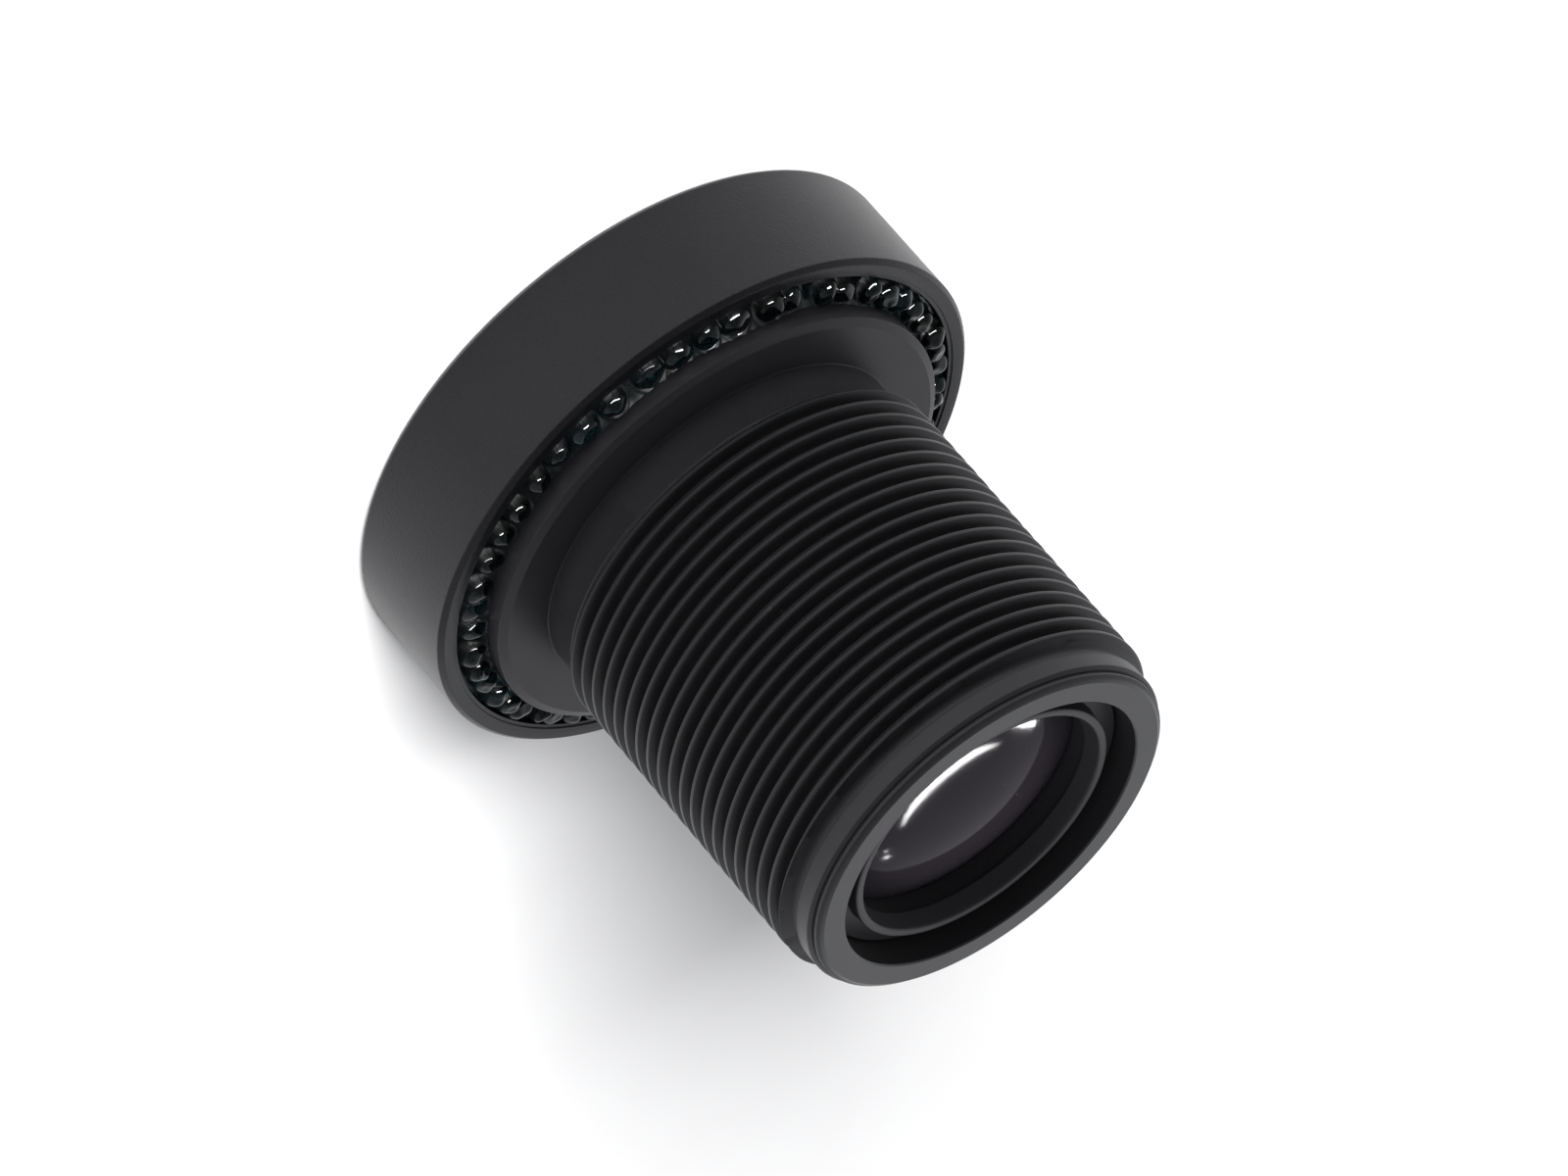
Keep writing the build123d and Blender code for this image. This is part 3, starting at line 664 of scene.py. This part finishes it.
# The pale colour of the skins is a painted sheen.
painted_sheen_share = remap(tree, thin, 0.25, 1.0, 0.0, 0.6)
body = mix_colours(tree, painted_sheen_share, teal, (0.040, 0.048, 0.050))
tree.links.new(body, shader.inputs["Base Color"])
tree.links.new(remap(tree, thin, 0.02, 0.25, 0.06, 0.46), shader.inputs["Roughness"])
shader.inputs["IOR"].default_value = 1.52
shader.inputs["Specular IOR Level"].default_value = 0.09
tree.links.new(remap(tree, thin, 0.02, 0.2, 0.48, 0.0), shader.inputs["Coat Weight"])
shader.inputs["Coat Roughness"].default_value = 0.03
print("adhesive finish reads", skin_value.attribute_name)

# %% [markdown]
# The outer lenses carry a coating against reflections, which leaves a faint violet tone.
# The inner ones are plain glass, and the seal and the films are matt black.

# %% Glass
def glass_material(name, colour, dusty_colour, ior, clear):
    """Polished glass with a trace of dust. Coated glass gives back less light than bare
    glass, which a low index stands for, and its many inner reflections add up to a haze,
    which the base colour paints in where little light passes through."""
    material, tree, shader = new_material(name)
    grain = use_group(tree, grain_group)
    body = mix_colours(tree, grain.outputs["Dust"], colour, dusty_colour)
    tree.links.new(body, shader.inputs["Base Color"])
    tree.links.new(remap(tree, grain.outputs["Dust"], 0, 1, 0.08, 0.4), shader.inputs["Roughness"])
    shader.inputs["IOR"].default_value = ior
    shader.inputs["Transmission Weight"].default_value = clear
    shader.inputs["Specular IOR Level"].default_value = 0.5
    return material


# The coated glass's violet base colour, with little light let through, is a painted haze that
# stands for its inner reflections.
coated_finish = glass_material("coated_glass", (0.064, 0.054, 0.067), (0.12, 0.12, 0.12),
                               ior=1.10, clear=0.08)
inner_finish = glass_material("inner_glass", (0.55, 0.60, 0.57), (0.8, 0.8, 0.8),
                              ior=1.58, clear=1.0)
print("glass finishes", [m.name for m in (coated_finish, inner_finish)])


# %% Rubber and film
def dull_material(name, dark, light, rough):
    """Matt rubber or film, its tone broken up by the shared grain."""
    material, tree, shader = new_material(name)
    grain = use_group(tree, grain_group)
    body = mix_colours(tree, grain.outputs["Blotch"], dark, light)
    tree.links.new(body, shader.inputs["Base Color"])
    uneven = remap(tree, grain.outputs["Grain"], 0.2, 0.8, rough - 0.08, rough + 0.08)
    tree.links.new(uneven, shader.inputs["Roughness"])
    return material


rubber_finish = dull_material("seal_rubber", (0.012, 0.012, 0.012), (0.020, 0.020, 0.020), 0.75)
foil_finish = dull_material("black_film", (0.010, 0.010, 0.010), (0.015, 0.015, 0.016), 0.60)
print("dull finishes", [m.name for m in (rubber_finish, foil_finish)])

# %% [markdown]
# The record names a material slot for every CAD piece, so one table of slots gives all of
# them their finish. The new pieces get theirs one by one and ride on the only body.

# %% Give every piece its finish
finish_of_slot = {"anodised_black": barrel_finish, "head_black": head_finish,
                  "ring_black": ring_finish_painted_light, "spacer_black": spacer_finish,
                  "adhesive": adhesive_finish, "coated_glass": coated_finish,
                  "inner_glass": inner_finish, "seal_rubber": rubber_finish,
                  "foil_black": foil_finish}
slot_of_node = {s["node"]: s["material_slot"] for s in frame["record"]["subparts"]}
for name, obj in frame["nodes"].items():
    if not obj.material_slots:
        obj.data.materials.append(None)
    for material_slot in obj.material_slots:
        material_slot.material = finish_of_slot[slot_of_node[name]]
new_pieces = ((barrel, barrel_finish), (head_ring, head_finish), (adhesive, adhesive_finish),
              (rear_ring, ring_finish_painted_light), (rear_lens, coated_finish), (front_lens, coated_finish))
for obj, material in new_pieces:
    obj.data.materials.append(material)
    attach(obj, "root")
print(len(frame["nodes"]), "CAD pieces and", len(new_pieces), "new pieces have a finish")

# %% [markdown]
# ## Table, light and camera
# The photograph has a white table and a soft white surround, which is brighter behind
# the lens and at the picture's left than on the viewer's side. The surround's strength
# follows how well a direction agrees with two chosen ones, by their dot products. The
# camera sees a plain white instead, through the Is Camera Ray output.

# %% White surround
world = bpy.data.worlds.new("white_surround")
bpy.context.scene.world = world
world.use_nodes = True
tree = world.node_tree
surround = tree.nodes["Background"]
surround.inputs["Color"].default_value = (0.97, 0.98, 1.0, 1)
direction = tree.nodes.new("ShaderNodeTexCoord")


def glow_towards(middle, low, high, dim, bright):
    """Strength that rises in a straight line from dim to bright, as the dot product of the
    direction looked at and the direction middle goes from low to high."""
    agree = tree.nodes.new("ShaderNodeVectorMath")
    agree.operation = "DOT_PRODUCT"
    agree.inputs[1].default_value = Vector(middle).normalized()
    tree.links.new(direction.outputs["Generated"], agree.inputs[0])
    return remap(tree, agree.outputs["Value"], low, high, dim, bright)


both = tree.nodes.new("ShaderNodeMath")
both.operation = "ADD"
tree.links.new(glow_towards((-0.18, 0.94, 0.25), 0.1, 0.95, 0.22, 1.0), both.inputs[0])
tree.links.new(glow_towards((0.97, -0.10, 0.20), 0.50, 1.0, 0.0, 0.46), both.inputs[1])
tree.links.new(both.outputs["Value"], surround.inputs["Strength"])
seen = tree.nodes.new("ShaderNodeBackground")
seen.inputs["Strength"].default_value = 1.0
choose = tree.nodes.new("ShaderNodeMixShader")
path = tree.nodes.new("ShaderNodeLightPath")
tree.links.new(path.outputs["Is Camera Ray"], choose.inputs["Fac"])
tree.links.new(surround.outputs[0], choose.inputs[1])
tree.links.new(seen.outputs[0], choose.inputs[2])
tree.links.new(choose.outputs[0], tree.nodes["World Output"].inputs["Surface"])
print("surround", world.name, "with", len(tree.nodes), "nodes")

# %% White table
table_half, below_rim = 600, 0.002
table_corners = np.array([[-1, -1, 0], [1, -1, 0], [1, 1, 0], [-1, 1, 0]], float) * table_half
table = make_mesh("table", table_corners - np.array([0, 0, below_rim]), np.array([[0, 1, 2, 3]]))
table_finish, tree, shader = new_material("white_table")
paper = noise_node(tree, 300, 2)
coords = tree.nodes.new("ShaderNodeTexCoord")
tree.links.new(coords.outputs["Object"], paper.inputs["Vector"])
white = mix_colours(tree, paper.outputs["Fac"], (0.71, 0.705, 0.71), (0.73, 0.73, 0.73))
tree.links.new(white, shader.inputs["Base Color"])
shader.inputs["Roughness"].default_value = 0.9
shader.inputs["Specular IOR Level"].default_value = 0.1
path = tree.nodes.new("ShaderNodeLightPath")
shader.inputs["Emission Color"].default_value = (1, 1, 1, 1)
seen_glow = remap(tree, path.outputs["Is Camera Ray"], 0, 1, 0.0, 0.02)
tree.links.new(seen_glow, shader.inputs["Emission Strength"])
table.data.materials.append(table_finish)
print("table", 2 * table_half * MM, "m square")

# %% [markdown]
# The bright marks on the rear lens are mirror images of lamps. A lamp whose image falls on
# the lens point P, with normal n, lies along the mirrored view ray f - 2 (f . n) n. So the
# lamps are laid out by the shape of their images: an arc about the axis, wide in the
# middle, a small four-sided window and three dots. They light the two lenses only. One
# long flat lamp lights only the adhesive and makes its glints. The key lamp brightens
# the table and throws the shadow. The black metal is left to the soft surround and to
# the table's glow, as a black object on a white table is.

# %% Key lamp and glints
def area_lamp(name, direction, distance, size, power):
    """A square lamp at direction * distance (m), aimed at the middle of the lens."""
    data = bpy.data.lights.new(name, "AREA")
    data.energy, data.size = power, size
    lamp = bpy.data.objects.new(name, data)
    bpy.context.scene.collection.objects.link(lamp)
    aim = Vector((0, 0, 0.009))
    lamp.location = aim + Vector(direction).normalized() * distance
    lamp.rotation_mode = "QUATERNION"
    lamp.rotation_quaternion = (aim - lamp.location).to_track_quat("-Z", "Y")
    return lamp


def receivers(name, *pieces):
    """A collection of the only pieces that a linked lamp lights."""
    collection = bpy.data.collections.new(name)
    for piece in pieces:
        collection.objects.link(piece)
    return collection


key = area_lamp("key", (-0.176, -0.881, 0.4405), 0.60, 0.19, 10.2)
key.light_linking.receiver_collection = receivers("lit_by_key", table)
glints = area_lamp("glints", (-0.34, -0.70, 0.62), 0.40, 0.34, 6.0)
glints.data.shape, glints.data.size_y = "RECTANGLE", 0.07
glints.visible_diffuse = False
glints.light_linking.receiver_collection = receivers("wet_pieces", adhesive)
print("key", round(key.data.energy, 1), "W, glints", round(glints.data.energy, 1), "W")

# %% Lamps seen in the rear lens
CAMERA_POINT = np.array([-0.11256, -216.9465, 119.538])
REAR_SPHERE = (REAR_CLEAR ** 2 + REAR_BULGE ** 2) / (2 * REAR_BULGE)
SPHERE_CENTRE = np.array([0, 0, z_high("rear_lens") - REAR_SPHERE])
lens_pieces = receivers("lens_pieces", rear_lens, front_lens)


def lamp_mirrored(name, image, strength, distance=250.0):
    """A glowing patch distance mm away, whose mirror image covers a grid (rows, columns, 2)
    of x, y in mm on the rear lens: P on the sphere plus distance * (f - 2 (f . n) n)."""
    xy = image.reshape(-1, 2)
    rise = np.sqrt(REAR_SPHERE ** 2 - (xy ** 2).sum(1))
    point = SPHERE_CENTRE + np.column_stack([xy, rise])
    normal = (point - SPHERE_CENTRE) / REAR_SPHERE
    view = point - CAMERA_POINT
    view /= np.linalg.norm(view, axis=1)[:, None]
    mirrored = view - 2 * (view * normal).sum(1)[:, None] * normal
    patch = make_mesh(name, point + mirrored * distance, grid_quads(*image.shape[:2]))
    material, tree, shader = new_material(name + "_glow")
    shader.inputs["Base Color"].default_value = (0, 0, 0, 1)
    shader.inputs["Emission Color"].default_value = (1, 1, 1, 1)
    shader.inputs["Emission Strength"].default_value = strength
    patch.data.materials.append(material)
    patch.visible_camera = patch.visible_diffuse = False
    patch.light_linking.receiver_collection = lens_pieces


LAMP_STRENGTH, DOT_STRENGTH = 230.0, 70.0
turn = np.radians(np.linspace(-45, -137, 25))
swell = np.sin(np.linspace(0.05, np.pi - 0.05, 25)) ** 1.3
span = 2.33 + 0.09 * swell + np.array([-1, 1])[:, None] * 0.215 * swell
lamp_mirrored("arc_lamp", np.stack([span * np.cos(turn), span * np.sin(turn)], -1), LAMP_STRENGTH)
window = np.array([[[-2.51, -1.82], [-3.01, -1.20]], [[-2.26, -1.60], [-2.71, -0.74]]])
lamp_mirrored("window_lamp", window, LAMP_STRENGTH)
dots = [(2.67, -1.21, 0.05), (2.46, -0.74, 0.07), (2.36, -1.02, 0.04)]
for number, (x, y, size) in enumerate(dots):
    corners = np.array([[[-1, -1], [1, -1]], [[-1, 1], [1, 1]]]) * size
    lamp_mirrored("dot_lamp_" + str(number), corners + np.array([x, y]), DOT_STRENGTH)
print("the rear lens, of radius", round(REAR_SPHERE, 2), "mm, mirrors", 2 + len(dots), "lamps")

# %% [markdown]
# The camera was fitted to the photograph as a pinhole: its place and its three axes came
# from the thread's crests, 0.5 mm apart, and from the outlines of the rear face and the
# head ring. The axes are its right, its down and, by their cross product, its view.

# %% Camera fitted to the photograph
camera_data = bpy.data.cameras.new("camera")
camera_data.sensor_width = 36
camera_data.lens = 210.82
camera_data.clip_start, camera_data.clip_end = 0.01, 5
camera = bpy.data.objects.new("camera", camera_data)
bpy.context.scene.collection.objects.link(camera)
right = Vector((-0.75620351, 0.30066473, 0.58116862))
down = Vector((0.65433649, 0.34747218, 0.67164488))
forward = right.cross(down).normalized()
axes = Matrix((right, -down, -forward)).transposed().to_4x4()
camera.matrix_world = Matrix.Translation(Vector(CAMERA_POINT) * MM) @ axes
bpy.context.scene.camera = camera
bpy.context.scene.view_settings.view_transform = "Standard"
print("camera at", [round(v, 4) for v in camera.matrix_world.translation],
      "with a focal length of", round(camera_data.lens, 2), "mm")
